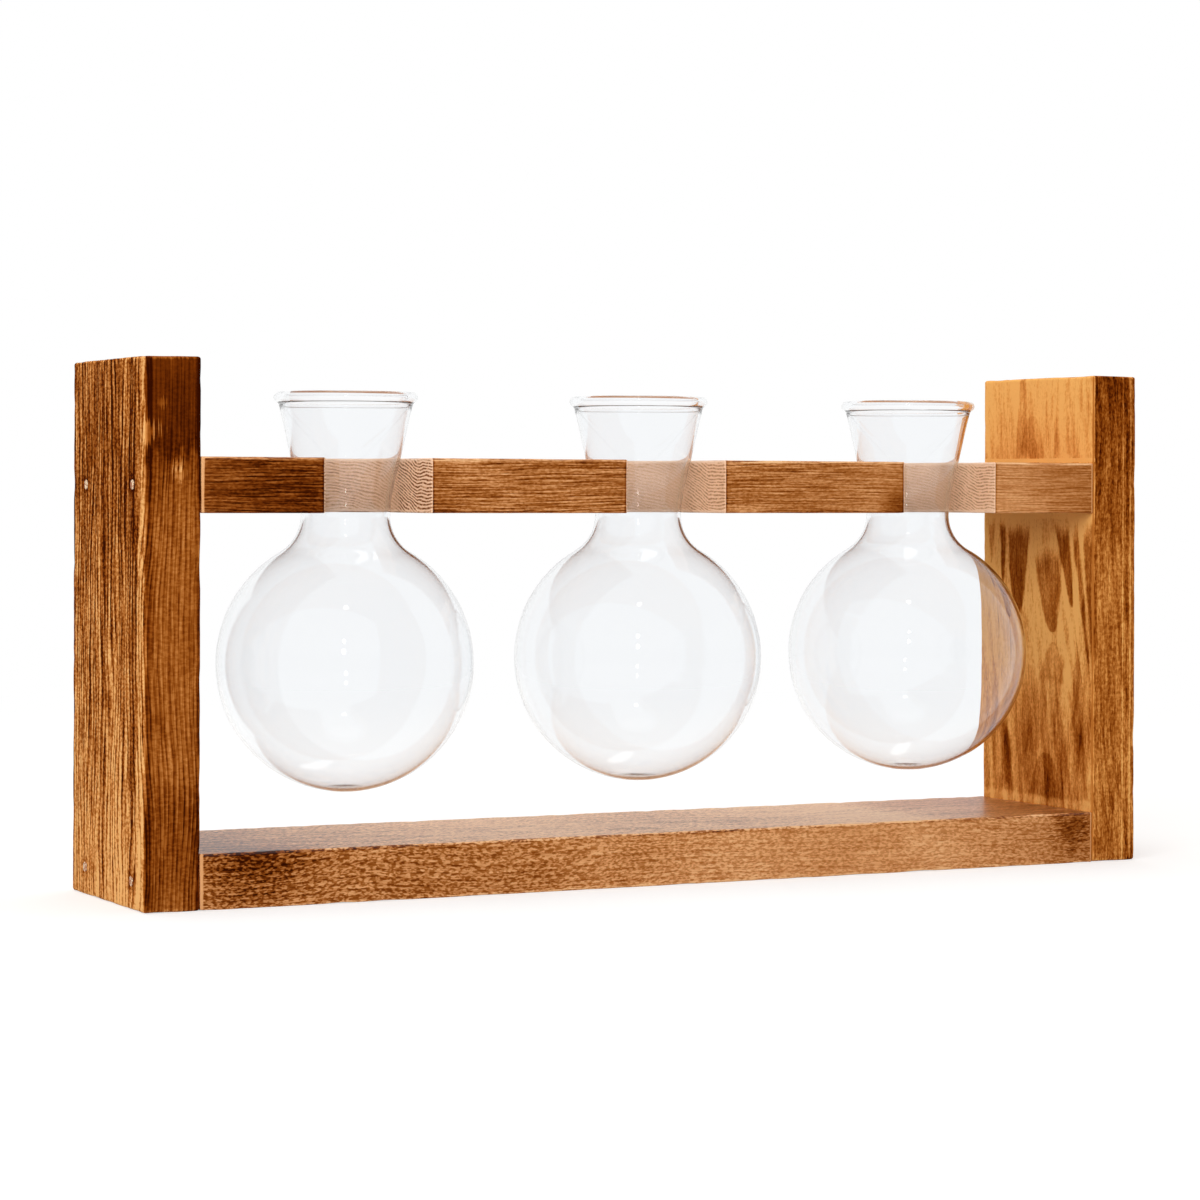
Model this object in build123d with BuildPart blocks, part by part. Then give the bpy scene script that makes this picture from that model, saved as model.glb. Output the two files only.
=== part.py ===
from build123d import *
import os
from math import asin, degrees, sqrt

# A propagation vase: three blown glass bulbs that hang by their necks in the slotted rail of a wooden stand.
# Millimetres. +X is to the right, +Y away from the viewer and +Z up. The origin is on the table, under the
# middle of the whole object's box.

# Glass vase
vase_count = 3
body_radius = 36.5
bottom_flat_radius = 5.5
shoulder_radius = 12.0
waist_radius = 12.7
glass_wall = 1.4
rim_radius = 20.4
rim_bead_radius = 1.5
rim_rise = 18.7
mouth_flare_angle = 17
neck_clearance = 0.3

# Boards of the stand
frame_depth = 61.5
upright_thickness = 16.0
base_thickness = 15.4
rail_thickness = 15.4
upright_rise = 27.0
edge_radius = 0.8

# Where the vases hang
slot_width = 31.7
slot_setback = 24.2
waist_below_rail = 0.9
hang_gap = 13.5
vase_gap = 20.4
end_gap = 15.6

# Nails
nail_shank_radius = 0.8
nail_head_radius = 1.4
nail_head_thickness = 0.8
nail_length = 36.0
nail_point_length = 2.4
nail_edge_inset = 11.0
nail_hole_clearance = 0.05

# One overrun serves every cut that goes past a face
overrun = 5.0

# Heights. The body's round and the neck's waist are joined by a shoulder arc that touches both.
waist_above_centre = sqrt(
    (body_radius + shoulder_radius) ** 2 - (waist_radius + shoulder_radius) ** 2
)
flat_below_centre = sqrt(body_radius**2 - bottom_flat_radius**2)
vase_bottom = base_thickness + hang_gap
body_centre_height = vase_bottom + flat_below_centre
waist_height = body_centre_height + waist_above_centre
rail_bottom = waist_height + waist_below_rail
rail_top = rail_bottom + rail_thickness
frame_height = rail_top + upright_rise
rim_centre_height = rail_top + rim_rise - rim_bead_radius

# Widths
slot_pitch = 2 * body_radius + vase_gap
end_slot_to_upright = body_radius + end_gap
opening_width = (vase_count - 1) * slot_pitch + 2 * end_slot_to_upright
frame_length = opening_width + 2 * upright_thickness

# Depths. The bodies stand out in front of the boards, and the whole is centred on the origin.
front_y = -(slot_setback - body_radius + frame_depth) / 2
frame_middle_y = front_y + frame_depth / 2
slot_y = front_y + slot_setback

# The neck fills the slot at the rail's top edge, but for its clearance
seat_radius = slot_width / 2 - neck_clearance
rim_wall_radius = rim_radius - rim_bead_radius

left, right = -1, 1
rail_height = rail_bottom + rail_thickness / 2
base_height = base_thickness / 2


def slot_x(number):
    """The middle of a slot, counted from the left."""
    return (number - (vase_count - 1) / 2) * slot_pitch


def nail_planes(side, height):
    """Planes at the nail heads on one upright's outer face, looking into the wood."""
    face_x = side * frame_length / 2
    depths = (front_y + nail_edge_inset, front_y + frame_depth - nail_edge_inset)
    return [Plane(origin=(face_x, y, height), z_dir=(-side, 0, 0)) for y in depths]


def nail_shape(extra_radius, mode):
    """A nail at each current place, head first, or the hole for it when the radius is enlarged."""
    from_head = (Align.CENTER, Align.CENTER, Align.MIN)
    shank_length = nail_length - nail_point_length
    Cylinder(nail_head_radius + extra_radius, nail_head_thickness, align=from_head, mode=mode)
    Cylinder(nail_shank_radius + extra_radius, shank_length, align=from_head, mode=mode)
    with Locations((0, 0, shank_length)):
        Cone(nail_shank_radius + extra_radius, extra_radius, nail_point_length, align=from_head, mode=mode)


def cut_nail_holes(side, height):
    with Locations(*nail_planes(side, height)):
        nail_shape(nail_hole_clearance, Mode.SUBTRACT)


def finish(piece, name):
    """Labels a piece and writes its file."""
    piece.part.label = name
    export_step(piece.part, f"parts/{name}.step")


def neck_curve(inset):
    """The neck's side from its waist, past its seat in the slot, to the rim."""
    return Spline(
        (waist_radius - inset, waist_height),
        (seat_radius - inset, rail_top),
        (rim_wall_radius + glass_wall / 2 - inset, rim_centre_height),
        tangents=[(0, 1), Vector(0, 1).rotate(Axis.Z, -mouth_flare_angle)],
    )


def body_curve(inset, flat_radius):
    """The bulb's side from its bottom to the shoulder, and the shoulder arc up to the waist."""
    round_radius = body_radius - inset
    shoulder_angle = degrees(asin((waist_radius + shoulder_radius) / (body_radius + shoulder_radius)))
    flat_angle = degrees(asin(flat_radius / round_radius))
    CenterArc((0, body_centre_height), round_radius, flat_angle - 90, 180 - flat_angle - shoulder_angle)
    CenterArc(
        (waist_radius + shoulder_radius, waist_height),
        shoulder_radius + inset,
        180,
        90 - shoulder_angle,
    )


def blow_vase(name, x):
    """One glass vase: a thin-walled bulb with a waist, a flared neck and a rolled rim."""
    axis_place = (x, slot_y, 0)
    with BuildPart() as vase:
        with BuildSketch(Plane(origin=axis_place, x_dir=(1, 0, 0), z_dir=(0, -1, 0))):
            with BuildLine():
                Line((0, vase_bottom), (bottom_flat_radius, vase_bottom))
                body_curve(0, bottom_flat_radius)
                outside = neck_curve(0)
                inside = neck_curve(glass_wall)
                Line(outside @ 1, inside @ 1)
                body_curve(glass_wall, 0)
                Line((0, vase_bottom), (0, body_centre_height - body_radius + glass_wall))
            make_face()
            with Locations((rim_wall_radius, rim_centre_height)):
                Circle(rim_bead_radius)
        revolve(axis=Axis(axis_place, (0, 0, 1)))
    finish(vase, name)


def saw_upright(name, side):
    """An upright board, eased all round, with its four nail holes."""
    with BuildPart() as upright:
        with Locations((side * (frame_length - upright_thickness) / 2, frame_middle_y, frame_height / 2)):
            Box(upright_thickness, frame_depth, frame_height)
        fillet(upright.edges(), radius=edge_radius)
        cut_nail_holes(side, rail_height)
        cut_nail_holes(side, base_height)
    finish(upright, name)


def nail_pair(name, side, height):
    """The two nails that hold one end of a board."""
    with BuildPart() as nails:
        with Locations(*nail_planes(side, height)):
            nail_shape(0, Mode.ADD)
    finish(nails, name)


os.makedirs("parts", exist_ok=True)

saw_upright("left_upright", left)
saw_upright("right_upright", right)

with BuildPart() as base_board:
    with Locations((0, frame_middle_y, base_height)):
        Box(opening_width, frame_depth, base_thickness)
    fillet(base_board.edges().filter_by(Axis.X), radius=edge_radius)
    cut_nail_holes(left, base_height)
    cut_nail_holes(right, base_height)
finish(base_board, "base_board")

with BuildPart() as cross_rail:
    with Locations((0, frame_middle_y, rail_height)):
        Box(opening_width, frame_depth, rail_thickness)
    fillet(cross_rail.edges().filter_by(Axis.X), radius=edge_radius)
    with BuildSketch(Plane.XY.offset(rail_bottom)):
        for number in range(vase_count):
            with Locations((slot_x(number), slot_y)):
                Circle(slot_width / 2)
                Rectangle(slot_width, slot_setback + overrun, align=(Align.CENTER, Align.MAX))
    extrude(amount=rail_thickness, mode=Mode.SUBTRACT)
    cut_nail_holes(left, rail_height)
    cut_nail_holes(right, rail_height)
finish(cross_rail, "cross_rail")

nail_pair("left_rail_nails", left, rail_height)
nail_pair("right_rail_nails", right, rail_height)
nail_pair("left_base_nails", left, base_height)
nail_pair("right_base_nails", right, base_height)

for number, name in enumerate(("vase_left", "vase_middle", "vase_right")):
    blow_vase(name, slot_x(number))
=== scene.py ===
from collections import namedtuple
from collections.abc import Sequence
from math import asin, cos, pi, radians, sin
from typing import NamedTuple

import bmesh
import bpy
from mathutils import Matrix, Vector, noise
from mathutils.geometry import interpolate_bezier


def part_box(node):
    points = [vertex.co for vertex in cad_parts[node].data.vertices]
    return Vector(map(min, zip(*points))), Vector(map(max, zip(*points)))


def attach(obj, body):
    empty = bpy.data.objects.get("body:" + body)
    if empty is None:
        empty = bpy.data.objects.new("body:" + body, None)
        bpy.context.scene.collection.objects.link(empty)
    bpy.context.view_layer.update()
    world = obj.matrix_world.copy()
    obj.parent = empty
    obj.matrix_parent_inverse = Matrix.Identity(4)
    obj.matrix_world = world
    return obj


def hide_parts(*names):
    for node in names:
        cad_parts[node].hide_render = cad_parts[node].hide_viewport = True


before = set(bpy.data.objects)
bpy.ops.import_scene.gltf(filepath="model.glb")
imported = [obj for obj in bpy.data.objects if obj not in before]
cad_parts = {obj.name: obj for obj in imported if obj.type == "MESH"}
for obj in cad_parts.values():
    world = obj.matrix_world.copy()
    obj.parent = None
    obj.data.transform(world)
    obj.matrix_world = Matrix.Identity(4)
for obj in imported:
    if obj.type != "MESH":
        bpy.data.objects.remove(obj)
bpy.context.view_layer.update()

# A propagation vase: three blown glass bulbs hanging in the slotted rail of a scorched pine stand.
# The scene is in metres, and its sizes are given as millimetres times MM. The patterns on a surface are in
# plain millimetres, which a finish counts from the middle of its board.
MM = 0.001


# ---------- Finishes ----------

def srgb(red, green, blue):
    """A colour as a paint chart gives it, 0 to 255, turned into the renderer's linear light."""
    shares = [channel / 255 for channel in (red, green, blue)]
    return [s / 12.92 if s <= 0.04045 else ((s + 0.055) / 1.055) ** 2.4 for s in shares] + [1]


WHITE = (1, 1, 1, 1)


class Value:
    """A number that varies over a surface. Expressions written with it add Math nodes."""

    def __init__(self, finish, socket):
        self.finish, self.socket = finish, socket

    def __add__(self, other):
        return self.finish.math("ADD", self, other)

    def __radd__(self, other):
        return self.finish.math("ADD", other, self)

    def __sub__(self, other):
        return self.finish.math("SUBTRACT", self, other)

    def __rsub__(self, other):
        return self.finish.math("SUBTRACT", other, self)

    def __mul__(self, other):
        return self.finish.math("MULTIPLY", self, other)

    def __rmul__(self, other):
        return self.finish.math("MULTIPLY", other, self)

    def __truediv__(self, other):
        return self.finish.math("DIVIDE", self, other)

    def __abs__(self):
        return self.finish.math("ABSOLUTE", self)


class Finish:
    """A material or world, and the one way in which its nodes are added."""

    def __init__(self, owner):
        owner.use_nodes = True
        self.owner = owner
        self.tree = owner.node_tree
        self.tree.nodes.clear()

    def node(self, kind, settings=None, inputs=None, output=0):
        """Adds a node, makes its settings, then feeds its sockets.

        Inputs go by identifier or number, and the output that is returned by name or number.
        """
        made = self.tree.nodes.new("ShaderNode" + kind)
        for name, setting in (settings or {}).items():
            if name == "stops":
                self.lay_stops(made.color_ramp, setting)
            else:
                setattr(made, name, setting)
        sockets = {socket.identifier: socket for socket in made.inputs}
        for key, given in (inputs or {}).items():
            socket = made.inputs[key] if isinstance(key, int) else sockets[key]
            if isinstance(given, Value):
                self.tree.links.new(given.socket, socket)
            else:
                socket.default_value = given
        return Value(self, made.outputs[output]) if made.outputs else None

    def lay_stops(self, ramp, stops):
        """Sets a ramp's stops, each of them a place with a colour or a plain number."""
        while len(ramp.elements) < len(stops):
            ramp.elements.new(1)
        for element, (position, colour) in zip(ramp.elements, stops):
            element.position = position
            element.color = colour if isinstance(colour, (list, tuple)) else (colour, colour, colour, 1)

    def math(self, operation, *values):
        return self.node("Math", {"operation": operation}, dict(enumerate(values)))

    def rise(self, value, start, end):
        """0 before start and 1 past end, with a smooth rise between them."""
        return self.node(
            "MapRange",
            {"interpolation_type": "SMOOTHSTEP"},
            {"Value": value, "From Min": start, "From Max": end},
        )

    def ramp(self, value, stops):
        return self.node("ValToRGB", {"stops": stops}, {"Fac": value})

    def profile(self, value, low, high, stops):
        """A curve drawn through stops of (place, height) between two places."""
        share = self.node("MapRange", {}, {"Value": value, "From Min": low, "From Max": high})
        return self.ramp(share, [((place - low) / (high - low), height) for place, height in stops])

    def join(self, *xyz):
        return self.node("CombineXYZ", {}, dict(enumerate(xyz)))

    def cloud(self, xyz, detail=2, roughness=0.5):
        """Smooth noise from 0 to 1, one grain of it being about one unit of its coordinates."""
        return self.node(
            "TexNoise",
            {},
            {"Vector": self.join(*xyz), "Scale": 1, "Detail": detail, "Roughness": roughness},
        )

    def marks(self, xyz, softness, detail=1, roughness=0.5):
        """Noise that is pressed towards 0 and 1, so that it shows as separate marks."""
        return self.rise(self.cloud(xyz, detail, roughness), 0.5 - softness, 0.5 + softness)

    def mix(self, share, first, second):
        """A number between two others."""
        return self.node(
            "Mix",
            {"data_type": "FLOAT"},
            {"Factor_Float": share, "A_Float": first, "B_Float": second},
        )

    def blend(self, share, first, second, how="MIX"):
        """A colour between two others."""
        return self.node(
            "Mix",
            {"data_type": "RGBA", "blend_type": how},
            {"Factor_Float": share, "A_Color": first, "B_Color": second},
            output=2,
        )

    def bump(self, strength, depth, height):
        """A relief up to a depth in millimetres."""
        return self.node("Bump", {}, {"Strength": strength, "Distance": depth * MM, "Height": height})

    def place(self, centre):
        """The surface's own x, y and z in millimetres, counted from a centre in metres."""
        local = self.node("TexCoord", output="Object")
        moved = self.node(
            "Mapping",
            {},
            {"Vector": local, "Location": [-c / MM for c in centre], "Scale": [1 / MM] * 3},
        )
        return [self.node("SeparateXYZ", {}, {"Vector": moved}, output=axis) for axis in "XYZ"]

    def end(self, shader):
        kind = "OutputWorld" if isinstance(self.owner, bpy.types.World) else "OutputMaterial"
        self.node(kind, {}, {"Surface": shader})
        return self.owner


# Scorched pine from barely toasted to charred
BURN_COLOURS = [
    (0.00, srgb(250, 198, 144)),
    (0.15, srgb(232, 168, 112)),
    (0.30, srgb(206, 139, 84)),
    (0.45, srgb(178, 109, 53)),
    (0.60, srgb(149, 81, 27)),
    (0.75, srgb(118, 54, 10)),
    (0.90, srgb(82, 31, 3)),
    (1.00, srgb(54, 15, 0)),
]
# Clean wood inside the slots, which were sawn after the boards were scorched
SAWN_COLOURS = [
    (0.00, srgb(255, 212, 178)),
    (0.45, srgb(229, 175, 134)),
    (1.00, srgb(128, 76, 44)),
]
# One year's growth, from the dark end of the last ring over pale early wood to its own dark end
YEAR_STOPS = [(0, 0.35), (0.15, 0.0), (0.5, 0.2), (0.75, 0.7), (0.9, 1), (1, 0.35)]

# The saw's lines on the slots' walls: how far apart they are, where they stop being level, which is this far
# in front of the middle of the slot's round, and how steeply they rise from there towards the back
SAW_LINE_PITCH = 0.95
SAW_LINE_BEND = 14.5
SAW_LINE_SLOPE = 0.36
SAW_LINE_WAVER = 2.4

# How long and how wide the wood's patterns are, in millimetres
BEND_LENGTH, BEND_WIDTH = 80, 24
RIPPLE_LENGTH, RIPPLE_WIDTH = 30, 5
PATCH_LENGTH, PATCH_WIDTH = 26, 12
JAG_LENGTH, JAG_WIDTH = 90, 2.6
BAND_LENGTH = 60
TEAR_WIDTH = 1.6
# How many marks there are in a millimetre
TEARS_ALONG = 1.15
SPECKS_ALONG, SPECKS_ACROSS = 0.75, 1.9
# Hairs are shorter and finer than the fibres that they lie among
HAIR_SHORTER, HAIR_FINER = 1.8, 2.1

# Bands hardly show on the fronts, and a little of them shows where nothing is burned
FRONT_BANDS_LOST = 0.7
UNBURNED_BANDS = 0.15
# How much paler a rubbed arris is, and how far the rubbing reaches
ARRIS_PALENESS = 0.25
ARRIS_REACH = 0.8
# A narrow darker lip round the slots in the rail's front: painted shade along the slots' rounded edges
SLOT_EDGE_SHADE_DEPTH = 0.22
SLOT_EDGE_SHADE_WIDTH = 1.3
# The saw's clean wood reaches this far past the slot's wall
SAWN_WIDTH = 0.6

# A face keeps its own burns to the first depth below its plane, and has lost them at the second
FACE_WHOLE = 0.3
FACE_GONE = 1.0

# Marks on a board, in millimetres from its middle. A burn runs from 0, barely toasted, to 1, charred, so that
# a negative depth is a paler place. A stripe runs along a face where one axis is at a place, and a seam is a
# narrow stripe of one tone. A flame licks along the grain from its root to its tip, and a spot is round.
Stripe = namedtuple("Stripe", "face axis place reach depth")
Seam = namedtuple("Seam", "face axis place reach tone")
Flame = namedtuple("Flame", "face middle root tip width lean depth")
Spot = namedtuple("Spot", "centre reach depth")
# The slots in a board: how far apart they are, their radius and where the middle of their round lies
Slots = namedtuple("Slots", "pitch radius round_y")


class Board(NamedTuple):
    """How one board was cut from its log, scorched and waxed."""

    name: str
    node: str
    grain: str  # the axis that the fibres follow
    heart: Sequence  # where the log's heart lies, across the grain
    ring_width: float
    lateness: float  # how late in the year a ring turns dark
    lean: float  # how far the rings drift for each millimetre along
    sway: float  # how far the grain bends
    ripple: float  # how far the rings waver
    jag: float  # how far a burn's edge runs along the fibres
    contrast: float  # of the rings
    streak: float  # of the fibres
    band: float  # of broad bands along the grain
    band_width: float
    tear: float  # of short marks across the grain
    speck: float  # of fine specks
    seed: float
    burns: dict  # stops of (place along the board, burn), by face
    relief: dict  # stops of (place along the board, share of the figure that shows), by face
    stripes: Sequence = ()
    fibre_length: float = 9
    fibre_count: Sequence = (1.5, 1.5)  # fibres in a millimetre, across and into the board
    smoke: float = 0.25  # of soft patches
    slant: float = 0  # how far the bands and the burns' edges lean off the grain
    flames: Sequence = ()
    seams: Sequence = ()
    spots: Sequence = ()
    tint: Sequence = None  # a colour that the whole board is stained with
    wax: float = 0  # on the top face
    slots: Slots = None


class ScorchedPine(Finish):
    """A board's surface: growth rings, fibres and saw marks under the torch's burn, with some painted light
    and shade.
    """

    def __init__(self, board):
        super().__init__(bpy.data.materials.new("scorched_pine_" + board.name))
        self.board = board
        low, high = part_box(board.node)
        self.half = half = (high - low) / 2 / MM
        self.x, self.y, self.z = x, y, z = self.place((low + high) / 2)
        self.axes = {"x": x, "y": y, "z": z}
        self.faces = {
            "front": self.rise(-1 * y, half.y - FACE_GONE, half.y - FACE_WHOLE),
            "left": self.rise(-1 * x, half.x - FACE_GONE, half.x - FACE_WHOLE),
            "top": self.rise(z, half.z - FACE_GONE, half.z - FACE_WHOLE),
        }
        self.out_x, self.out_y, self.out_z = half.x - abs(x), half.y - abs(y), half.z - abs(z)
        if board.grain == "X":
            self.along, self.straight_across, deep, self.half_along = x, y, z, half.x
        else:
            self.along, self.straight_across, deep, self.half_along = z, y, x, half.z
        self.lay_patterns(self.along, self.straight_across, deep)

    def lay_patterns(self, along, across, deep):
        """The wood's own patterns, each of them from 0 to about 1."""
        board, seed = self.board, self.board.seed

        # The whole grain bends together, so the fibres follow the rings
        length, width = BEND_LENGTH, BEND_WIDTH
        sway = self.cloud((along / length + seed, across / width, deep / width), detail=1)
        across = across + board.sway * (sway - 0.5)
        sway = self.cloud((along / length, across / width + seed, deep / width), detail=1)
        deep = deep + board.sway * (sway - 0.5)
        self.rings = self.growth_rings(along, across, deep)

        length = board.fibre_length
        aside, inward = board.fibre_count
        strand = (along / length, across * aside + seed, deep * inward)
        self.fibre = self.marks(strand, 0.14, detail=2, roughness=0.6)
        strand = (
            along / length * HAIR_SHORTER,
            across * aside * HAIR_FINER,
            deep * inward * HAIR_FINER + seed,
        )
        self.hair = self.marks(strand, 0.12)

        length, width = PATCH_LENGTH, PATCH_WIDTH
        self.patch = self.cloud(
            (along / length + seed, across / width, deep / width), detail=3, roughness=0.6
        )
        self.tear = self.marks(
            (along * TEARS_ALONG, across / TEAR_WIDTH, deep / TEAR_WIDTH + seed), 0.1
        )
        self.speck = self.marks(
            (along * SPECKS_ALONG, across * SPECKS_ACROSS, deep * SPECKS_ACROSS + seed), 0.1
        )

        width = board.band_width
        leaning = across + board.slant * along
        self.band = self.marks((along / BAND_LENGTH, leaning / width, deep / width + seed), 0.12, detail=2)

        # Some fibres took the burn further along than others
        jag = self.cloud((leaning / JAG_WIDTH, deep / JAG_WIDTH + seed, along / JAG_LENGTH), detail=2)
        self.torch = along + board.jag * (jag - 0.5)

    def growth_rings(self, along, across, deep):
        """Dark latewood at the end of each year's ring, as the log's rings meet the board's faces."""
        board, seed = self.board, self.board.seed
        heart_across, heart_deep = board.heart
        aside, below = across - heart_across, deep - heart_deep
        ripple = self.cloud(
            (along / RIPPLE_LENGTH + seed, across / RIPPLE_WIDTH, deep / RIPPLE_WIDTH)
        )
        radius = self.math("SQRT", aside * aside + below * below) + board.lean * along
        radius = radius + board.ripple * (ripple - 0.5)
        uneven = self.cloud((radius / (2.7 * board.ring_width), seed, 0.5), detail=1)
        year = radius / board.ring_width + 1.6 * uneven
        season = self.math("POWER", self.math("FRACT", year), board.lateness)
        strength = self.cloud((self.math("FLOOR", year) * 3.7, seed, along / 50), detail=0)
        return self.ramp(season, YEAR_STOPS) * (0.5 + strength)

    def by_face(self, courses):
        """A curve along the board, which takes another course on some faces."""
        value = self.profile(self.torch, -self.half_along, self.half_along, courses["rest"])
        for face, mask in self.faces.items():
            if face in courses:
                own = self.profile(self.torch, -self.half_along, self.half_along, courses[face])
                value = self.mix(mask, value, own)
        return value

    def off_line(self, mark):
        """How far a point lies from a stripe's or a seam's middle line."""
        return abs(self.axes[mark.axis] - mark.place)

    def scorch(self):
        """How deep the torch burned the board, with the painted light that some boards' courses and stripes
        hold.
        """
        board, patch = self.board, self.patch
        banding = board.band * (1 - FRONT_BANDS_LOST * self.faces["front"]) * (self.band - 0.5)
        burn = self.by_face(board.burns) * (1 + banding) + UNBURNED_BANDS * banding

        for stripe in board.stripes:
            waver = min(1.6, 0.6 * stripe.reach) * (patch - 0.5)
            near = self.rise(self.off_line(stripe) + waver, stripe.reach, 0.4 * stripe.reach)
            burn = burn + stripe.depth * self.faces[stripe.face] * near

        for flame in board.flames:
            risen = (self.along - flame.root) / (flame.tip - flame.root)
            off = abs(self.straight_across + flame.lean * (self.along - flame.root) - flame.middle)
            taper = self.math("POWER", self.math("MAXIMUM", 1 - risen, 0), 0.4)
            inside = self.rise(flame.width * taper + 2.4 * (patch - 0.5) - off, -0.5, 1.0)
            past_root = self.rise(risen + 0.4 * (patch - 0.5), -0.08, 0.14)
            burn = burn + flame.depth * self.faces[flame.face] * past_root * inside

        for spot in board.spots:
            away = self.node(
                "VectorMath",
                {"operation": "DISTANCE"},
                {0: self.join(self.x, self.y, self.z), 1: spot.centre},
                output="Value",
            )
            ragged = spot.reach * (0.9 * (self.fibre - 0.5) + 0.4 * (self.hair - 0.5))
            burn = burn + spot.depth * self.rise(away + ragged, spot.reach, 0.4 * spot.reach)
        return burn

    def rubbed(self):
        """1 along the arrises, where the burn is worn off."""
        # The second shortest way out of the board is the way to its nearest arris
        shortest = self.math("MINIMUM", self.math("MINIMUM", self.out_x, self.out_y), self.out_z)
        longest = self.math("MAXIMUM", self.math("MAXIMUM", self.out_x, self.out_y), self.out_z)
        to_arris = self.out_x + self.out_y + self.out_z - shortest - longest
        ragged = 1.8 * (self.patch - 0.5) + 0.6 * (self.fibre - 0.5)
        return self.rise(to_arris + ragged, ARRIS_REACH, 0.1)

    def figure(self):
        """How far the wood's patterns darken or lighten the burn."""
        board = self.board
        return (
            board.contrast * (self.rings - 0.42)
            + board.streak * (self.fibre - 0.5)
            + 0.6 * board.streak * (self.hair - 0.5)
            + board.tear * (self.tear - 0.5)
            + board.speck * (self.speck - 0.5)
        )

    def to_slot_axis(self):
        """How far a point lies from the line down the middle of the nearest slot."""
        slots = self.board.slots
        nearest = self.math("PINGPONG", self.x + 4 * slots.pitch, slots.pitch / 2)
        beyond = self.math("MAXIMUM", self.y - slots.round_y, 0)
        return self.math("SQRT", nearest * nearest + beyond * beyond)

    def sawn_tone(self, to_axis):
        """How dark the clean wood is: saw lines that are plainest in the slots' mouths, and paler edges that
        are painted highlights along the slots' arrises.
        """
        slots, seed, patch = self.board.slots, self.board.seed, self.patch
        x, y, z = self.x, self.y, self.z
        drift = self.cloud((x / 7, y / 8 + seed, z / 6))
        further_in = self.math("MAXIMUM", y - slots.round_y + SAW_LINE_BEND, 0)
        course = (z - SAW_LINE_SLOPE * further_in) / SAW_LINE_PITCH + SAW_LINE_WAVER * (drift - 0.5)
        line = self.rise(self.math("PINGPONG", course, 0.5), 0.12, 0.4)
        worn = self.rise(self.cloud((x / 2, y / 1.2, z / 1.2 + seed)), 0.3, 0.6)
        mouth = self.rise(y, slots.round_y + 3, slots.round_y - 4)
        # The left slot was sawn more roughly than the others
        other_slots = self.rise(x, -60, -40)
        rough_cut = (0.4 + 0.6 * mouth) * (1 - 0.5 * other_slots)
        scored = 0.24 + rough_cut * (1.15 * line * (0.4 + 0.6 * worn) - 0.24)
        # Paler along the slots' arrises at top, bottom and front: painted highlights
        edge = self.rise(self.out_z + 0.8 * (patch - 0.5), 1.1, 0.5)
        edge = edge + self.rise(to_axis, slots.radius + 0.1, slots.radius + 0.4)
        return scored + 0.2 * (self.hair - 0.5) + 0.5 * (patch - 0.5) - 0.5 * edge

    def make(self):
        board, patch = self.board, self.patch
        burn = self.scorch()
        if board.slots:
            to_axis = self.to_slot_axis()
            radius = board.slots.radius
            # Painted shade: a darker lip on the front round each slot's edge
            painted_slot_edge_shade = self.rise(to_axis, radius + SLOT_EDGE_SHADE_WIDTH, radius + SAWN_WIDTH)
            burn = burn + SLOT_EDGE_SHADE_DEPTH * self.faces["front"] * painted_slot_edge_shade
        figure = self.by_face(board.relief) * self.figure()
        tone = burn + figure + board.smoke * (patch - 0.5) - ARRIS_PALENESS * self.rubbed()
        for seam in board.seams:
            off = self.off_line(seam) + 0.5 * seam.reach * (patch - 0.5)
            share = self.faces[seam.face] * self.rise(off, seam.reach, 0.5 * seam.reach)
            tone = self.mix(share, tone, seam.tone + 0.15 * (patch - 0.5))

        colour = self.ramp(tone, BURN_COLOURS)
        if board.tint:
            colour = self.blend(1, colour, board.tint, how="MULTIPLY")
        roughness = 0.6 + 0.15 * self.fibre
        if board.slots:
            sawn = self.rise(to_axis, radius + SAWN_WIDTH, radius + SAWN_WIDTH / 2)
            colour = self.blend(sawn, colour, self.ramp(self.sawn_tone(to_axis), SAWN_COLOURS))
            roughness = self.mix(sawn, roughness, 0.7)

        height = 0.4 * self.rings + 0.4 * self.fibre + 0.2 * self.hair + 0.2 * self.tear
        # Scorched wood has hardly any gloss of its own, and its darks stay dark. Wax gives some tops a sheen.
        shader = self.node(
            "BsdfPrincipled",
            {},
            {
                "Base Color": colour,
                "Roughness": roughness,
                "Specular IOR Level": 0.002,
                "Normal": self.bump(0.5, 0.2, height),
                "Coat Weight": board.wax * self.faces["top"],
                "Coat Roughness": 0.3,
            },
        )
        return self.end(shader)


def clear_glass():
    """Thin blown glass. Lamps shine through it, so that it throws only a faint shadow."""
    finish = Finish(bpy.data.materials.new("clear_glass"))
    x, y, z = finish.place((0, 0, 0))
    swirl = finish.cloud((x / 22, y / 22, z / 22))
    glass_colour = srgb(250, 251, 252)
    # The index is lower than real glass's 1.5, which keeps the bulbs' edges pale
    body = finish.node(
        "BsdfPrincipled",
        {},
        {
            "Base Color": glass_colour,
            "Roughness": 0,
            "IOR": 1.34,
            "Transmission Weight": 1,
            "Normal": finish.bump(0.05, 0.5, swirl),
        },
    )
    lamp_ray = finish.node("LightPath", output="Is Shadow Ray")
    through = finish.node("BsdfTransparent", {}, {"Color": glass_colour})
    return finish.end(finish.node("MixShader", {}, {0: lamp_ray, 1: body, 2: through}))


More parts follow.
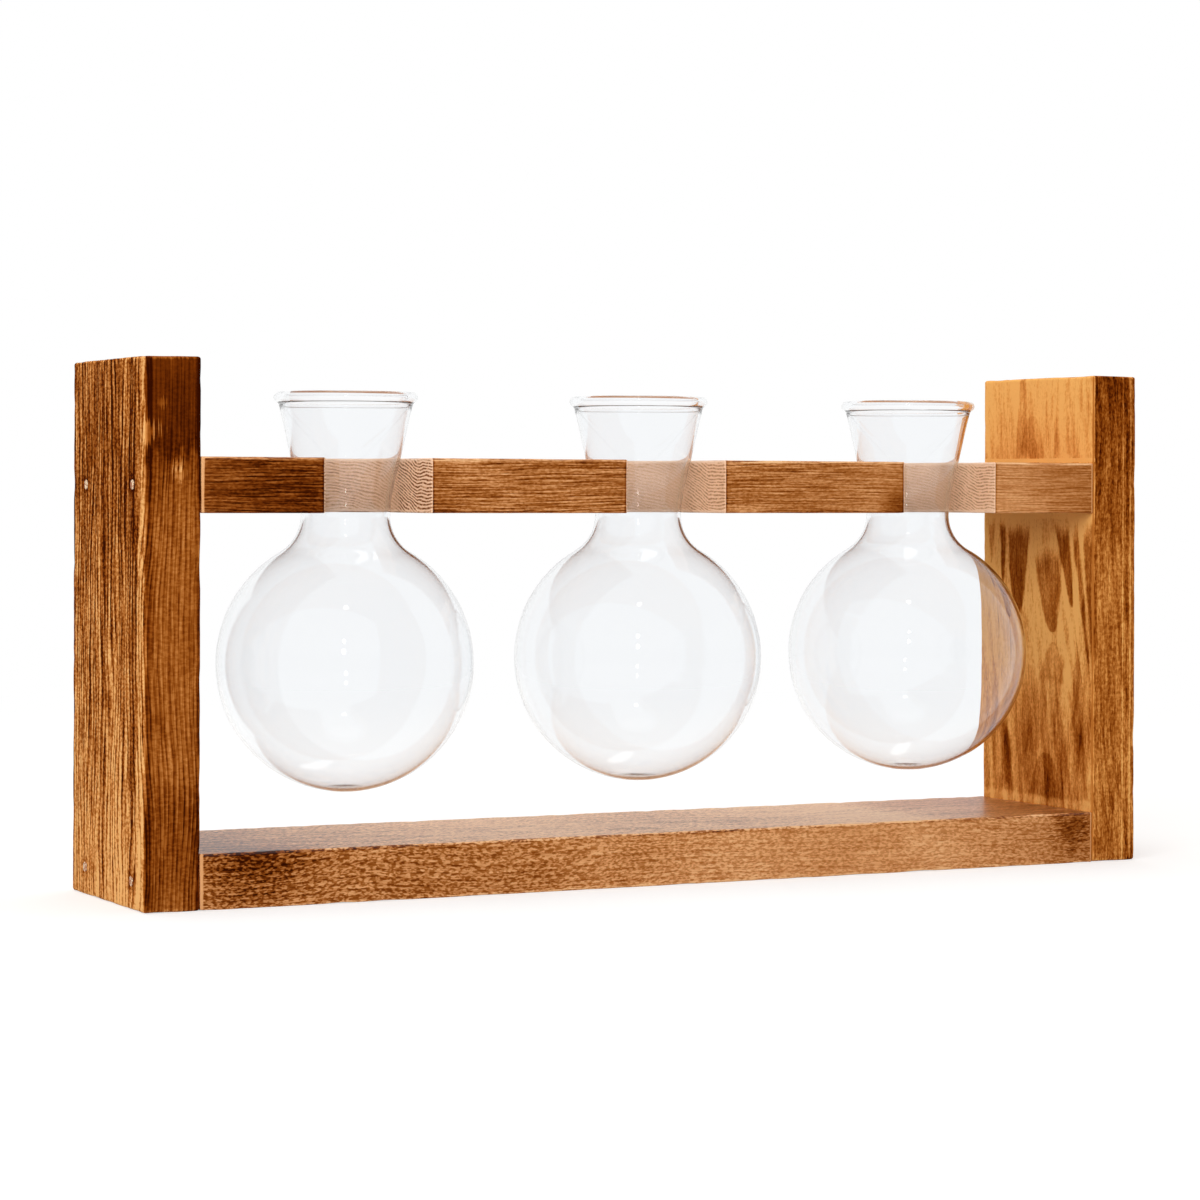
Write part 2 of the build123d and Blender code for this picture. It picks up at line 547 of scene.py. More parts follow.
def nail_steel():
    """Dull bright steel, scuffed by the hammer and stained by the torch, with a painted glint in its pale
    flecks and painted shade in its brown.
    """
    finish = Finish(bpy.data.materials.new("nail_steel"))
    x, y, z = finish.place((0, 0, 0))
    scuff = finish.cloud((x * 1.1, y * 1.1, z * 1.1), detail=3, roughness=0.7)
    # Brown where the torch stained the steel and as painted shade; the pale flecks between are a painted
    # glint
    soot_and_painted_shade = finish.rise(scuff, 0.4, 0.54)
    shader = finish.node(
        "BsdfPrincipled",
        {},
        {
            "Base Color": finish.blend(soot_and_painted_shade, srgb(255, 230, 192), srgb(168, 98, 50)),
            "Metallic": 0.15,
            "Roughness": 0.4 + 0.3 * scuff,
            "Normal": finish.bump(0.4, 0.1, scuff),
        },
    )
    return finish.end(shader)


# ---------- Pieces ----------

# An edge that turns by more than this is an arris
ARRIS_TURN = radians(50)
# Points that are nearer to each other than this are one
WELD = 0.01 * MM
GLASS_WELD = 0.005 * MM


def put_in_scene(name, mesh):
    data = bpy.data.meshes.new(name)
    mesh.to_mesh(data)
    mesh.free()
    thing = bpy.data.objects.new(name, data)
    bpy.context.scene.collection.objects.link(thing)
    return thing


def as_piece(name, mesh, material, slot, body, *nodes):
    """Turns a finished mesh into a piece that rides on a body and stands for CAD nodes."""
    piece = put_in_scene(name, mesh)
    piece.data.materials.append(material)
    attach(piece, body)
    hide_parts(*nodes)
    return piece


# The boards are cut into cells of this size, so that their arrises can be worn
CELL = 3 * MM
EASE = 0.8 * MM
ARRIS_WEAR = 0.35 * MM
RUB_SIZE = 7 * MM
CHIP_SIZE = 2.2 * MM

BOARD_DEPTH = 61.5 * MM

NAIL_HEAD_RADIUS = 1.4 * MM
NAIL_HEAD_THICKNESS = 0.8 * MM
NAIL_HEAD_EASE = 0.25 * MM
NAIL_SHANK_RADIUS = 0.8 * MM
NAIL_POINT_LENGTH = 2.4 * MM
NAIL_TIP_RADIUS = 0.05 * MM
NAIL_DENT_RADIUS = 2.7 * MM
NAIL_DENT_DEPTH = 0.45 * MM
# How far from a nail the lines of edges lie that shape its dent, in millimetres
NAIL_DENT_LINES = (-2.4, -1.6, -0.8, 0.8, 1.6, 2.4)


def cut_across(mesh, axis, place):
    """Adds a line of edges round the piece without changing its shape."""
    spot, facing = Vector((0, 0, 0)), Vector((0, 0, 0))
    spot[axis], facing[axis] = place, 1
    everything = mesh.verts[:] + mesh.edges[:] + mesh.faces[:]
    bmesh.ops.bisect_plane(mesh, geom=everything, dist=WELD, plane_co=spot, plane_no=facing)


def cut_cells(mesh, low, high):
    for axis in range(3):
        count = round((high[axis] - low[axis]) / CELL)
        for number in range(1, count):
            cut_across(mesh, axis, low[axis] + (high[axis] - low[axis]) * number / count)


def ease_edges(mesh, edges, radius):
    """Rounds edges, and returns a face layer that marks the rounded strips."""
    arris = mesh.faces.layers.int.new("arris")
    rounded = bmesh.ops.bevel(
        mesh, geom=edges, offset=radius, segments=3, profile=0.5, affect="EDGES", material=-1
    )
    for face in rounded["faces"]:
        face[arris] = 1
        face.smooth = True
    return arris


def wear_arrises(mesh, arris, seed):
    """Hollows the rounded strips a little here and there, always inwards."""
    mesh.normal_update()
    moves = []
    for vert in mesh.verts:
        if any(face[arris] for face in vert.link_faces):
            rub = noise.noise(vert.co / RUB_SIZE + Vector((seed, 0, 0)))
            chip = noise.noise(vert.co / CHIP_SIZE + Vector((0, seed, 0)))
            depth = ARRIS_WEAR * (max(rub, 0) + 0.5 * max(chip, 0))
            moves.append((vert, vert.normal * -depth))
    for vert, move in moves:
        vert.co += move


def dent(mesh, centre, reach, depth, direction):
    """Presses a soft hollow into the wood."""
    for vert in mesh.verts:
        share = (vert.co - centre).length / reach
        if share < 1:
            vert.co += direction * depth * (1 - share * share) ** 2


def board_blank(board):
    """A plain block in the place of the board's node, and its two corners."""
    low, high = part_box(board.node)
    mesh = bmesh.new()
    bmesh.ops.create_cube(mesh, size=1)
    bmesh.ops.scale(mesh, vec=high - low, verts=mesh.verts)
    bmesh.ops.translate(mesh, vec=(low + high) / 2, verts=mesh.verts)
    return mesh, low, high


def as_board(board, mesh):
    """Turns a finished mesh into a scorched board of the stand."""
    material = ScorchedPine(board).make()
    return as_piece("board_" + board.name, mesh, material, "scorched_pine", "stand", board.node)


def nail_places():
    """Where the nails' heads show, by node, with the way that they point."""
    places = {}
    for node in sorted(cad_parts):
        if node.endswith("_nails"):
            low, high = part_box(node)
            side = -1 if node.startswith("left") else 1
            face_x = low.x if side < 0 else high.x
            height = (low.z + high.z) / 2
            depths = (low.y + NAIL_HEAD_RADIUS, high.y - NAIL_HEAD_RADIUS)
            places[node] = [(Vector((face_x, y, height)), Vector((-side, 0, 0))) for y in depths]
    return places


def make_upright(board, side):
    """An upright, with a shallow dent round each of its nails."""
    mesh, low, high = board_blank(board)
    arris = ease_edges(mesh, mesh.edges[:], EASE)
    cut_cells(mesh, low, high)
    nails = [nail for node, pair in nail_places().items() if node.startswith(side) for nail in pair]
    for offset in NAIL_DENT_LINES:
        for depth in sorted({round(head.y, 6) for head, way in nails}):
            cut_across(mesh, 1, depth + offset * MM)
        for height in sorted({round(head.z, 6) for head, way in nails}):
            cut_across(mesh, 2, height + offset * MM)
    wear_arrises(mesh, arris, board.seed)
    for head, way in nails:
        dent(mesh, head, NAIL_DENT_RADIUS, NAIL_DENT_DEPTH, way)
    return as_board(board, mesh)


def make_base(board):
    mesh, low, high = board_blank(board)
    arris = ease_edges(mesh, mesh.edges[:], EASE / 2)
    cut_cells(mesh, low, high)
    wear_arrises(mesh, arris, board.seed)
    return as_board(board, mesh)


# The slots, as the rail's own solid has them
SLOT_RADIUS = 15.85 * MM
SLOT_SETBACK = 24.2 * MM
SLOT_PITCH = 93.4 * MM
SLOT_STEPS = 48


def slot_cutter(x, low, high):
    """A block with a half-round back, standing where a slot is sawn."""
    mesh = bmesh.new()
    bmesh.ops.create_circle(mesh, cap_ends=True, segments=SLOT_STEPS, radius=SLOT_RADIUS)
    round_y = low.y + SLOT_SETBACK
    bmesh.ops.translate(mesh, vec=(x, round_y, low.z - CELL), verts=mesh.verts)
    for vert in mesh.verts:
        if vert.co.y < round_y - WELD:
            vert.co.y = low.y - CELL
            vert.co.x = x + (SLOT_RADIUS if vert.co.x > x else -SLOT_RADIUS)
    bmesh.ops.remove_doubles(mesh, verts=mesh.verts, dist=WELD)
    lifted = bmesh.ops.extrude_face_region(mesh, geom=mesh.faces[:])["geom"]
    raised = [item for item in lifted if isinstance(item, bmesh.types.BMVert)]
    bmesh.ops.translate(mesh, vec=(0, 0, high.z - low.z + 2 * CELL), verts=raised)
    bmesh.ops.recalc_face_normals(mesh, faces=mesh.faces)
    return put_in_scene("slot_cutter", mesh)


def make_rail(board, slot_places):
    """The rail with its three slots sawn in from the front."""
    mesh, low, high = board_blank(board)
    blank = put_in_scene("rail_blank", mesh)
    cutters = [slot_cutter(x, low, high) for x in slot_places]
    for cutter in cutters:
        saw = blank.modifiers.new("saw", "BOOLEAN")
        saw.operation, saw.solver, saw.object = "DIFFERENCE", "EXACT", cutter
    shaped = bpy.data.meshes.new_from_object(blank.evaluated_get(bpy.context.evaluated_depsgraph_get()))
    for scrap in [blank, *cutters]:
        bpy.data.objects.remove(scrap)

    mesh = bmesh.new()
    mesh.from_mesh(shaped)
    bmesh.ops.remove_doubles(mesh, verts=mesh.verts, dist=WELD)
    corners = [edge for edge in mesh.edges if edge.is_manifold and edge.calc_face_angle() > ARRIS_TURN]
    arris = ease_edges(mesh, corners, EASE / 2)
    bmesh.ops.triangulate(mesh, faces=[face for face in mesh.faces if len(face.verts) > 4])
    cut_cells(mesh, low, high)
    wear_arrises(mesh, arris, board.seed)
    return as_board(board, mesh)


def add_cone(mesh, nail, start, length, near_radius, far_radius, segments):
    """Adds a cylinder or a cone that lies along a nail, and returns its points."""
    head, way = nail
    turn = Vector((0, 0, 1)).rotation_difference(way).to_matrix().to_4x4()
    cone = bmesh.ops.create_cone(
        mesh,
        cap_ends=True,
        segments=segments,
        radius1=near_radius,
        radius2=far_radius,
        depth=length,
        matrix=Matrix.Translation(head + way * (start + length / 2)) @ turn,
    )
    return cone["verts"]


def make_nails(node, nails, material):
    """A pair of nails with rounded heads."""
    mesh = bmesh.new()
    low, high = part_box(node)
    shank_length = high.x - low.x - NAIL_POINT_LENGTH - NAIL_HEAD_THICKNESS
    point_start = NAIL_HEAD_THICKNESS + shank_length
    for nail in nails:
        plate = set(add_cone(mesh, nail, 0, NAIL_HEAD_THICKNESS, NAIL_HEAD_RADIUS, NAIL_HEAD_RADIUS, 24))
        rims = [
            edge for edge in mesh.edges
            if plate.issuperset(edge.verts) and edge.calc_face_angle(0) > ARRIS_TURN
        ]
        bmesh.ops.bevel(
            mesh, geom=rims, offset=NAIL_HEAD_EASE, segments=3, profile=0.5, affect="EDGES", material=-1
        )
        add_cone(mesh, nail, NAIL_HEAD_THICKNESS, shank_length, NAIL_SHANK_RADIUS, NAIL_SHANK_RADIUS, 16)
        add_cone(mesh, nail, point_start, NAIL_POINT_LENGTH, NAIL_SHANK_RADIUS, NAIL_TIP_RADIUS, 16)
    for face in mesh.faces:
        face.smooth = len(face.verts) == 4
    return as_piece(node.replace("_nails", "_pair_of_nails"), mesh, material, "nail_steel", "stand", node)


# The vases' outsides, as their own solids have them
BODY_RADIUS = 36.5 * MM
BOTTOM_FLAT_RADIUS = 5.5 * MM
SHOULDER_RADIUS = 12 * MM
WAIST_RADIUS = 12.7 * MM
SEAT_RADIUS = 15.55 * MM
RIM_WALL_RADIUS = 18.9 * MM
RIM_BEAD_RADIUS = 1.5 * MM
SOLID_WALL = 1.4 * MM
# The glass that is seen is thinner than the solids' wall
GLASS_WALL = 0.8 * MM
# How far the neck leans outwards at the mouth and where it rests in its slot
MOUTH_FLARE = radians(17)
SEAT_FLARE = radians(13.5)
# The rim's bead stops this far short of the wall's two sides
BEAD_GAP = radians(6)

GLASS_STEPS = 128
BODY_STEPS = 64
SHOULDER_STEPS = 14
NECK_POINTS = 10
BEAD_STEPS = 20


def sweep(mesh, vert, centre, angle, steps):
    """Draws an arc from a vertex round a centre, counter-clockwise as seen from the front."""
    drawn = bmesh.ops.spin(mesh, geom=[vert], cent=centre, axis=(0, -1, 0), angle=angle, steps=steps)
    return drawn["geom_last"][0]


def draw_line(mesh, vert, places):
    """Draws straight lines from a vertex through some places, and returns the last vertex."""
    for place in places:
        following = mesh.verts.new(place)
        mesh.edges.new((vert, following))
        vert = following
    return vert


def neck_line(inset, waist, seat, rim):
    """The neck's side as points from its waist, past its seat in the slot, to the rim."""
    knots = [
        (Vector((WAIST_RADIUS - inset, 0, waist)), 0),
        (Vector((SEAT_RADIUS - inset, 0, seat)), SEAT_FLARE),
        (Vector((RIM_WALL_RADIUS + SOLID_WALL / 2 - inset, 0, rim)), MOUTH_FLARE),
    ]
    points = []
    for (start, start_flare), (end, end_flare) in zip(knots, knots[1:]):
        pull = (end - start).length / 3
        first = start + pull * Vector((sin(start_flare), 0, cos(start_flare)))
        second = end - pull * Vector((sin(end_flare), 0, cos(end_flare)))
        points += interpolate_bezier(start, first, second, end, NECK_POINTS)[1:]
    return points


def draw_vase_side(mesh, bottom, seat, top):
    """Draws half a vase's cut edge: the outside up to the rolled rim, then the inside back down."""
    reach = BODY_RADIUS + SHOULDER_RADIUS
    centre = bottom + (BODY_RADIUS**2 - BOTTOM_FLAT_RADIUS**2) ** 0.5
    waist = centre + (reach**2 - (WAIST_RADIUS + SHOULDER_RADIUS) ** 2) ** 0.5
    rim = top - RIM_BEAD_RADIUS
    body_centre = (0, 0, centre)
    shoulder_centre = (WAIST_RADIUS + SHOULDER_RADIUS, 0, waist)
    bead_centre = (RIM_WALL_RADIUS, 0, rim)
    shoulder_angle = asin((WAIST_RADIUS + SHOULDER_RADIUS) / reach)
    flat_angle = asin(BOTTOM_FLAT_RADIUS / BODY_RADIUS)
    outside = neck_line(0, waist, seat, rim)
    inside = neck_line(GLASS_WALL, waist, seat, rim)
    outer_gap = asin(SOLID_WALL / 2 / RIM_BEAD_RADIUS) + BEAD_GAP
    inner_gap = asin((GLASS_WALL - SOLID_WALL / 2) / RIM_BEAD_RADIUS) + BEAD_GAP
    bead_angle = radians(-90) - MOUTH_FLARE + outer_gap
    bead_start = Vector(bead_centre) + RIM_BEAD_RADIUS * Vector((cos(bead_angle), 0, sin(bead_angle)))

    vert = draw_line(mesh, mesh.verts.new((0, 0, bottom)), [(BOTTOM_FLAT_RADIUS, 0, bottom)])
    vert = sweep(mesh, vert, body_centre, pi - flat_angle - shoulder_angle, BODY_STEPS)
    vert = sweep(mesh, vert, shoulder_centre, shoulder_angle - pi / 2, SHOULDER_STEPS)
    vert = draw_line(mesh, vert, outside[:-1] + [bead_start])
    vert = sweep(mesh, vert, bead_centre, 2 * pi - outer_gap - inner_gap, BEAD_STEPS)
    vert = draw_line(mesh, vert, inside[-2::-1] + [(WAIST_RADIUS - GLASS_WALL, 0, waist)])
    vert = sweep(mesh, vert, shoulder_centre, pi / 2 - shoulder_angle, SHOULDER_STEPS)
    vert = sweep(mesh, vert, body_centre, shoulder_angle - pi, BODY_STEPS)
    vert.co.x = 0


def make_vase(name, node, body, material, seat):
    """A bulb with a waist, a flared neck and a rolled rim, spun round its own axis."""
    low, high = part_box(node)
    mesh = bmesh.new()
    draw_vase_side(mesh, low.z, seat, high.z)
    bmesh.ops.spin(
        mesh,
        geom=mesh.verts[:] + mesh.edges[:],
        cent=(0, 0, 0),
        axis=(0, 0, 1),
        angle=2 * pi,
        steps=GLASS_STEPS,
        use_merge=True,
    )
    bmesh.ops.remove_doubles(mesh, verts=mesh.verts, dist=GLASS_WELD)
    bmesh.ops.recalc_face_normals(mesh, faces=mesh.faces)
    for face in mesh.faces:
        face.smooth = True
    bmesh.ops.translate(mesh, vec=((low.x + high.x) / 2, (low.y + high.y) / 2, 0), verts=mesh.verts)
    return as_piece(name, mesh, material, "clear_glass", body, node)


# ---------- Stage, light and camera ----------

FLOOR_RADIUS = 4.0
FLOOR_COLOUR = (0.6, 0.6, 0.6, 1)
# What the floor adds to the light on it, so that it looks white but for the object's shadow
FLOOR_GLOW = 0.51
# Where the floor starts to turn into plain white, and where it is white, in millimetres from the object
FLOOR_FADE_START = 300
FLOOR_FADE_END = 900
FILL_COLOUR = srgb(255, 252, 248)
FILL_LIGHT = 0.62


def seen_directly(finish):
    """1 for what is seen, also in gloss and through glass, and 0 for light on the object."""
    camera = finish.node("LightPath", output="Is Camera Ray")
    gloss = finish.node("LightPath", output="Is Glossy Ray")
    through = finish.node("LightPath", output="Is Transmission Ray")
    return finish.math("MINIMUM", camera + gloss + through, 1)


def pale_floor():
    """Matt near the object, where it keeps the shadow, and plain white further out."""
    finish = Finish(bpy.data.materials.new("pale_floor"))
    x, y, z = finish.place((0, 0, 0))
    seen = seen_directly(finish)
    far = finish.rise(finish.math("SQRT", x * x + y * y), FLOOR_FADE_START, FLOOR_FADE_END) * seen
    matt = finish.node("BsdfDiffuse", {}, {"Color": FLOOR_COLOUR})
    glow = finish.node("Emission", {}, {"Color": WHITE, "Strength": FLOOR_GLOW})
    near = finish.node("AddShader", {}, {0: matt, 1: finish.node("MixShader", {}, {0: seen, 2: glow})})
    white = finish.node("Emission", {}, {"Color": WHITE, "Strength": 1})
    return finish.end(finish.node("MixShader", {}, {0: far, 1: near, 2: white}))


def lay_floor():
    mesh = bmesh.new()
    bmesh.ops.create_circle(mesh, cap_ends=True, segments=96, radius=FLOOR_RADIUS)
    floor = put_in_scene("floor", mesh)
    floor.data.materials.append(pale_floor())


def white_room():
    """A world that looks white and lights the object with a soft, slightly warm fill."""
    finish = Finish(bpy.data.worlds.new("white_room"))
    fill = finish.node("Background", {}, {"Color": FILL_COLOUR, "Strength": FILL_LIGHT})
    backdrop = finish.node("Background", {}, {"Color": WHITE, "Strength": 1})
    return finish.end(finish.node("MixShader", {}, {0: seen_directly(finish), 1: fill, 2: backdrop}))


def hang_softbox(name, place, target, width, height, watts, mirrored):
    """A lamp that lights the wood, or where mirrored is true, one that only shows in gloss and glass."""
    data = bpy.data.lights.new(name, "AREA")
    data.shape = "ELLIPSE" if mirrored else "RECTANGLE"
    data.size, data.size_y, data.energy = width, height, watts
    lamp = bpy.data.objects.new(name, data)
    lamp.location = place
    lamp.visible_glossy = lamp.visible_transmission = mirrored
    lamp.visible_diffuse = not mirrored
    lamp.rotation_euler = (Vector(target) - Vector(place)).to_track_quat("-Z", "Y").to_euler()
    bpy.context.scene.collection.objects.link(lamp)


# Two heights on the object that the lamps are aimed at
LOW_AIM = (0, 0, 0.08)
HIGH_AIM = (0, 0, 0.11)


def hang_lamps():
    hang_softbox(
        "key", place=(-1.05, -0.95, 0.64), target=LOW_AIM,
        width=0.8, height=0.8, watts=10.6, mirrored=False,
    )
    hang_softbox(
        "overhead", place=(0.1, 0.3, 1.5), target=LOW_AIM,
        width=1.0, height=1.0, watts=6, mirrored=False,
    )
    hang_softbox(
        "window_pane", place=(-0.68, -1.34, 0.388), target=HIGH_AIM,
        width=0.08, height=0.12, watts=0.6, mirrored=True,
    )
    hang_softbox(
        "upper_window_pane", place=(-0.68, -1.34, 0.656), target=HIGH_AIM,
        width=0.08, height=0.1, watts=0.5, mirrored=True,
    )
    hang_softbox(
        "high_window", place=(-0.52, -1.08, 1.6), target=HIGH_AIM,
        width=0.14, height=0.14, watts=0.4, mirrored=True,
    )
    hang_softbox(
        "skylight", place=(0.555, 0.615, 1.5), target=LOW_AIM,
        width=0.22, height=1.1, watts=0.9, mirrored=True,
    )


CAMERA_PLACE = Vector((-468.46, -905.09, 114.51)) * MM
# How far the camera turns to the right, tips up and rolls to the left
CAMERA_AZIMUTH = radians(26.742)
CAMERA_ELEVATION = radians(-0.182)
CAMERA_ROLL = radians(0.192)
LENS, SENSOR_WIDTH = 103.356, 36
CAMERA_SHIFT = -0.0833


def set_camera():
    """A long lens at the rail's height, looking from the left of the front."""
    sideways, depth, height = sin(CAMERA_AZIMUTH), cos(CAMERA_AZIMUTH), sin(CAMERA_ELEVATION)
    level = cos(CAMERA_ELEVATION)
    forward = Vector((sideways * level, depth * level, height))
    right = Vector((depth, -sideways, 0))
    up = right.cross(forward)
    tilted_right = right * cos(CAMERA_ROLL) + up * sin(CAMERA_ROLL)
    tilted_up = up * cos(CAMERA_ROLL) - right * sin(CAMERA_ROLL)
    data = bpy.data.cameras.new("camera")
    data.lens, data.sensor_width = LENS, SENSOR_WIDTH
    data.shift_y = CAMERA_SHIFT
    camera = bpy.data.objects.new("camera", data)
    turn = Matrix((tilted_right, tilted_up, -forward)).transposed().to_4x4()
    camera.matrix_world = Matrix.Translation(CAMERA_PLACE) @ turn
    bpy.context.scene.collection.objects.link(camera)
    bpy.context.scene.camera = camera


# ---------- The boards ----------

# The front face of every board, from its middle
FRONT = -BOARD_DEPTH / MM / 2
# The nails' places on an upright's outer face, from the upright's middle
NAIL_DEPTHS = (-19.75, 19.75)
NAIL_HEIGHTS = (40.3, -67.3)


def soot_round_nails(outer_x):
    """Dark spots where the nails go in."""
    return [Spot((outer_x, y, z), 3.2, 0.3) for y in NAIL_DEPTHS for z in NAIL_HEIGHTS]


LEFT_UPRIGHT = Board(
    name="left_upright",
    node="left_upright",
    grain="Z",
    heart=(-85, 155),
    ring_width=1.15,
    lateness=0.9,
    lean=0.004,
    sway=8,
    ripple=1.8,
    jag=20,
    contrast=0.7,
    streak=0.4,
    band=0.25,
    band_width=3.2,
    tear=0.28,
    speck=0.0,
    seed=3.1,
    burns={
        "rest": [
            (-75, 0.18), (-57, 0.26), (-30, 0.4), (0, 0.45), (14, 0.48), (30, 0.57), (45, 0.6), (75, 0.52),
        ],
        "front": [
            (-75, 0.62), (-60, 0.67), (-47, 0.66), (-38, 0.53), (-26, 0.52), (25, 0.57), (36, 0.65),
            (46, 0.67), (48.5, 0.83), (75, 0.82),
        ],
    },
    relief={
        "rest": [(-75, 0.9), (75, 0.9)],
        "front": [(-75, 0.36), (-40, 0.4), (-20, 0.36), (30, 0.38), (46, 0.34), (54, 0.16), (75, 0.14)],
    },
    stripes=[
        Stripe("left", "y", -27.6, 2.2, -0.17),
        Stripe("left", "y", 16, 13, 0.09),
        Stripe("left", "y", -20.5, 4.4, 0.25),
        Stripe("left", "y", 2.4, 3.6, 0.16),
        Stripe("left", "y", 30.0, 1.6, 0.4),
        Stripe("front", "x", -6.9, 1.3, 0.22),
        Stripe("front", "x", 7.5, 1.2, 0.22),
    ],
    fibre_length=16,
    fibre_count=(0.8, 1.5),
    smoke=0.36,
    spots=soot_round_nails(-8) + [
        Spot((-6.6, FRONT, 54.5), 3.4, -0.4),
        Spot((1.7, FRONT, 43.3), 2.1, -0.25),
        Spot((1.5, FRONT, 45.8), 1.9, -0.25),
        Spot((-3.3, FRONT, 62.5), 1.7, -0.2),
    ],
    tint=srgb(255, 246, 214),
)
RIGHT_UPRIGHT = Board(
    name="right_upright",
    node="right_upright",
    grain="Z",
    heart=(4, 34),
    ring_width=2.6,
    lateness=0.7,
    lean=-0.06,
    sway=6,
    ripple=2.0,
    jag=24,
    contrast=0.16,
    streak=0.16,
    band=0.6,
    band_width=5.5,
    tear=0.08,
    speck=0.16,
    seed=8.6,
    burns={
        "rest": [(-75, 0.5), (-40, 0.42), (0, 0.36), (46, 0.42), (75, 0.36)],
        # On the inner face the course turns paler than barely toasted wood from 12 to 31 mm, just under the
        # rail: painted light that makes up for the rail's shade there
        "left": [
            (-75, 0.28), (-56, 0.3), (-48, 0.31), (-38, 0.33), (-28, 0.24), (-15, 0.1), (0, 0.04),
            (12, -0.04), (31, -0.12), (46, 0.16), (54, 0.07), (75, -0.04),
        ],
        "front": [(-75, 0.48), (-58, 0.45), (-44, 0.41), (-30, 0.41), (14, 0.42), (28, 0.6), (75, 0.72)],
    },
    relief={
        "rest": [(-75, 1), (75, 1)],
        "left": [(-75, 0.8), (20, 0.8), (50, 0.6), (75, 0.6)],
        "front": [(-75, 1.2), (-40, 1.1), (0, 1), (30, 1.1), (75, 1.1)],
    },
    stripes=[
        Stripe("left", "z", 31.6, 1.4, -0.12),
        Stripe("left", "z", -58.2, 2.2, -0.16),
        Stripe("front", "x", -6.9, 0.7, 0.1),
        Stripe("front", "x", 3.2, 0.35, -0.25),
        Stripe("front", "x", 4.7, 0.6, 0.12),
        Stripe("front", "x", 6.0, 0.45, -0.3),
    ],
    fibre_count=(1.1, 1.5),
    slant=-0.18,
    flames=[
        # Under the rail, the torch's flames
        Flame("left", 19.2, 28.6, 10, 1.9, 0.0, 0.6),
        Flame("left", 10.2, 28.6, 0, 6.6, 0.02, 0.58),
        Flame("left", -6.0, 19.5, -5, 8.0, -0.12, 0.4),
        Flame("left", -13.9, 28.2, 3, 3.8, -0.23, 0.56),
        Flame("left", -20.8, 28.4, -14, 2.2, -0.18, 0.52),
        Flame("left", -27.8, 29, -22, 3.4, -0.1, 0.5),
        Flame("left", 26, 28.4, 16, 1.8, 0.0, 0.3),
        # Fainter ones halfway down, and pale tongues between them
        Flame("left", -8, -21, -8, 7.0, 0.1, 0.14),
        Flame("left", -23.5, -46, 10, 6.5, 0.08, 0.13),
        Flame("left", -12.5, 20, -14, 1.7, -0.25, -0.22),
        Flame("left", -19.0, 16, -22, 1.3, -0.18, -0.2),
        Flame("left", -12.0, 2, -36, 1.5, -0.3, -0.16),
        # Above the base board
        Flame("left", -5, -57, -43, 9.0, 0.0, 0.22),
        Flame("left", 17, -57, -36, 4.4, 0.0, 0.22),
        Flame("left", -26, -57, -34, 3.4, -0.05, 0.08),
        # Above the rail
        Flame("left", 8.6, 50, 82, 3.4, 0.0, 0.24),
        Flame("left", 3.0, 50, 63, 7.0, 0.0, 0.12),
        Flame("left", -10.8, 50, 76, 1.5, 0.03, 0.22),
        Flame("left", -17, 50, 64, 1.8, 0.0, 0.2),
        Flame("left", 20.5, 50, 66, 1.1, 0.0, 0.2),
        Flame("left", 25.5, 50, 64, 1.1, 0.0, 0.2),
    ],
    seams=[
        Seam("left", "z", 49.0, 0.8, -0.1),
        Seam("front", "x", -7.9, 0.5, 0.4),
    ],
    spots=soot_round_nails(8),
    tint=srgb(255, 240, 190),
)
BASE_BOARD = Board(
    name="base",
    node="base_board",
    grain="X",
    heart=(-6, -44),
    ring_width=1.6,
    lateness=0.9,
    lean=0.012,
    sway=10,
    ripple=1.4,
    jag=24,
    contrast=0.34,
    streak=0.26,
    band=0.2,
    band_width=2.8,
    tear=0.0,
    speck=0.62,
    seed=5.3,
    burns={
        "rest": [(-145, 0.5), (-90, 0.4), (0, 0.36), (145, 0.36)],
        "front": [
            (-145, 0.5), (-134, 0.53), (-118, 0.41), (-96, 0.41), (-46, 0.42), (-21, 0.34), (5, 0.25),
            (90, 0.23), (112, 0.26), (130, 0.34), (145, 0.4),
        ],
        # The top's course is palest near -40, 45 and 84 mm: painted sheen highlights over the wood's own burn
        "top": [
            (-145, 0.56), (-125, 0.46), (-89, 0.28), (-40, 0.06), (11, 0.28), (45, 0.06), (84, -0.06),
            (98, 0.3), (145, 0.45),
        ],
    },
    relief={
        "rest": [(-145, 1), (145, 1)],
        "front": [(-145, 0.65), (-50, 0.52), (0, 0.4), (60, 0.28), (145, 0.36)],
        "top": [(-145, 1), (40, 0.9), (100, 0.5), (145, 0.5)],
    },
    stripes=[
        Stripe("front", "z", 7.2, 0.6, 0.16),
    ],
    fibre_length=5,
    fibre_count=(2.2, 2.2),
    seams=[
        Seam("front", "x", -145.4, 1.0, 0.14),
        Seam("front", "x", 145.4, 0.7, 0.2),
    ],
    spots=[
        Spot((139, FRONT, 3.5), 8.5, 0.36),
        Spot((-128, FRONT, 9), 17, 0.34),
    ],
    wax=0.7,
)
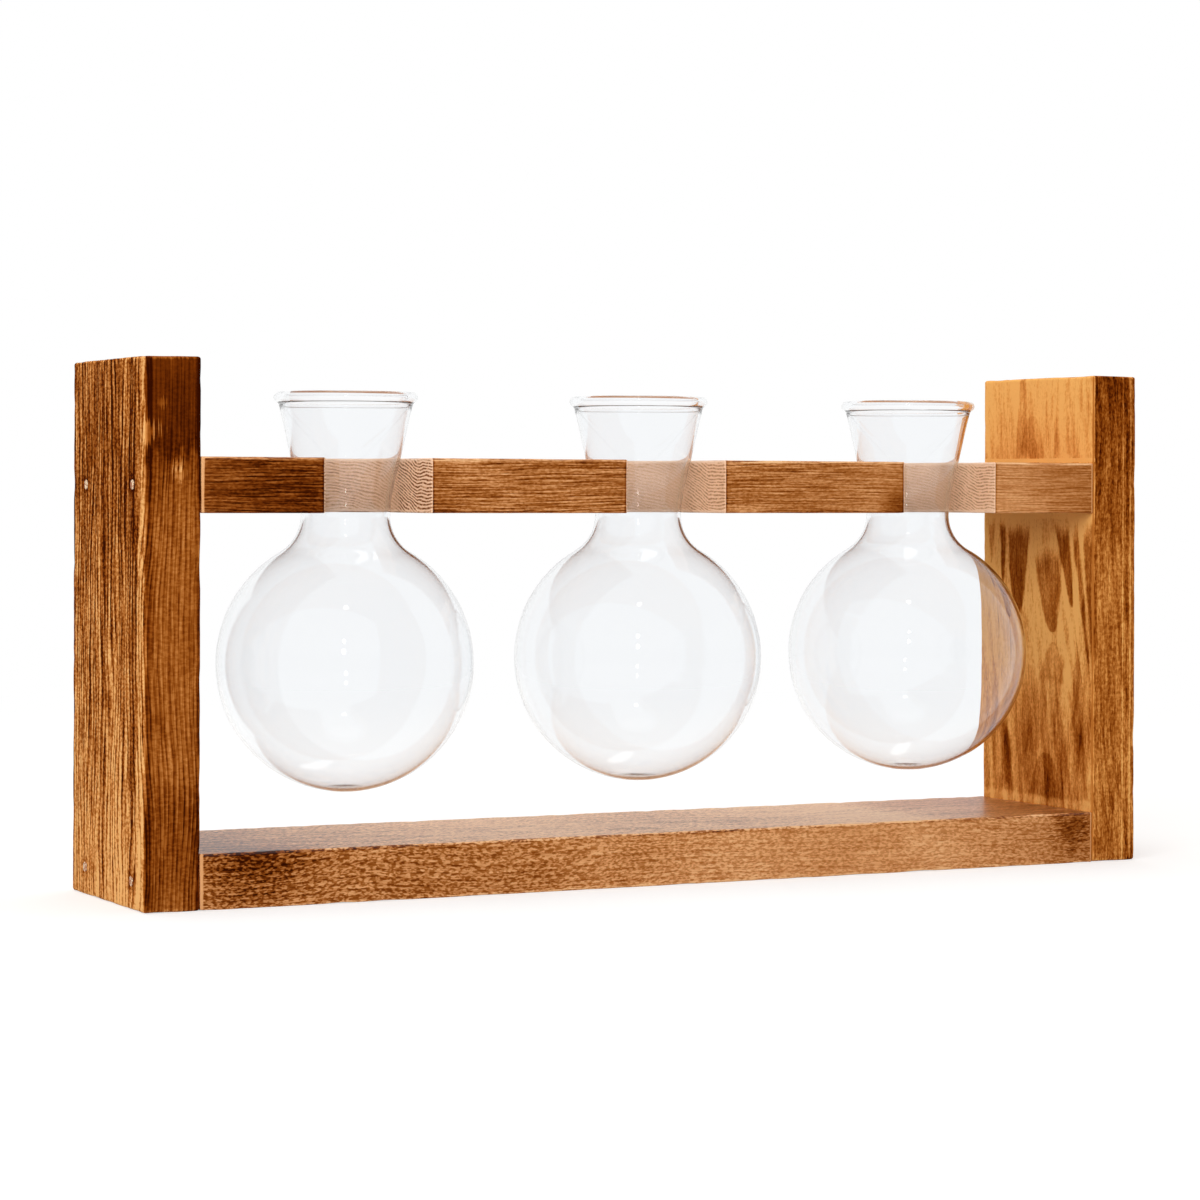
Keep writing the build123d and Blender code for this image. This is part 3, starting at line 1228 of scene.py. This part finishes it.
CROSS_RAIL = Board(
    name="rail",
    node="cross_rail",
    grain="X",
    heart=(-15, 60),
    ring_width=0.95,
    lateness=1.1,
    lean=0.002,
    sway=4,
    ripple=2.2,
    jag=14,
    contrast=0.22,
    streak=0.28,
    band=0.15,
    band_width=2.8,
    tear=0.0,
    speck=0.16,
    seed=1.7,
    burns={
        "rest": [(-145, 0.6), (-60, 0.46), (0, 0.42), (60, 0.42), (145, 0.4)],
        "front": [
            (-145, 0.66), (-132, 0.79), (-117, 0.78), (-95, 0.62), (-70, 0.49), (0, 0.48), (30, 0.45),
            (80, 0.45), (103, 0.32), (118, 0.32), (130, 0.42), (145, 0.46),
        ],
    },
    relief={
        "rest": [(-145, 1), (145, 1)],
        "front": [(-145, 0.75), (-60, 1), (20, 1), (60, 0.75), (100, 0.5), (145, 0.5)],
    },
    stripes=[
        # A pale line along the top of the front: a painted highlight where the eased arris catches light
        Stripe("front", "z", 7.3, 0.5, -0.15),
        Stripe("front", "z", -7.4, 0.6, 0.2),
    ],
    fibre_length=18,
    fibre_count=(2.2, 2.2),
    seams=[
        Seam("front", "x", -145.2, 0.8, 0.1),
        Seam("front", "x", 145.4, 0.8, 0.2),
    ],
    spots=[
        Spot((75, FRONT, -5), 5, 0.25),
    ],
    wax=0.7,
    slots=Slots(pitch=SLOT_PITCH / MM, radius=SLOT_RADIUS / MM, round_y=FRONT + SLOT_SETBACK / MM),
)

make_upright(LEFT_UPRIGHT, "left")
make_upright(RIGHT_UPRIGHT, "right")
make_base(BASE_BOARD)
make_rail(CROSS_RAIL, [-SLOT_PITCH, 0, SLOT_PITCH])

steel = nail_steel()
for node, nails in nail_places().items():
    make_nails(node, nails, steel)

glass = clear_glass()
seat_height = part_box("cross_rail")[1].z
for side in ("left", "middle", "right"):
    make_vase("glass_" + side, "vase_" + side, side + "_vase", glass, seat_height)

lay_floor()
bpy.context.scene.world = white_room()
hang_lamps()
set_camera()
bpy.context.scene.view_settings.view_transform = "Standard"
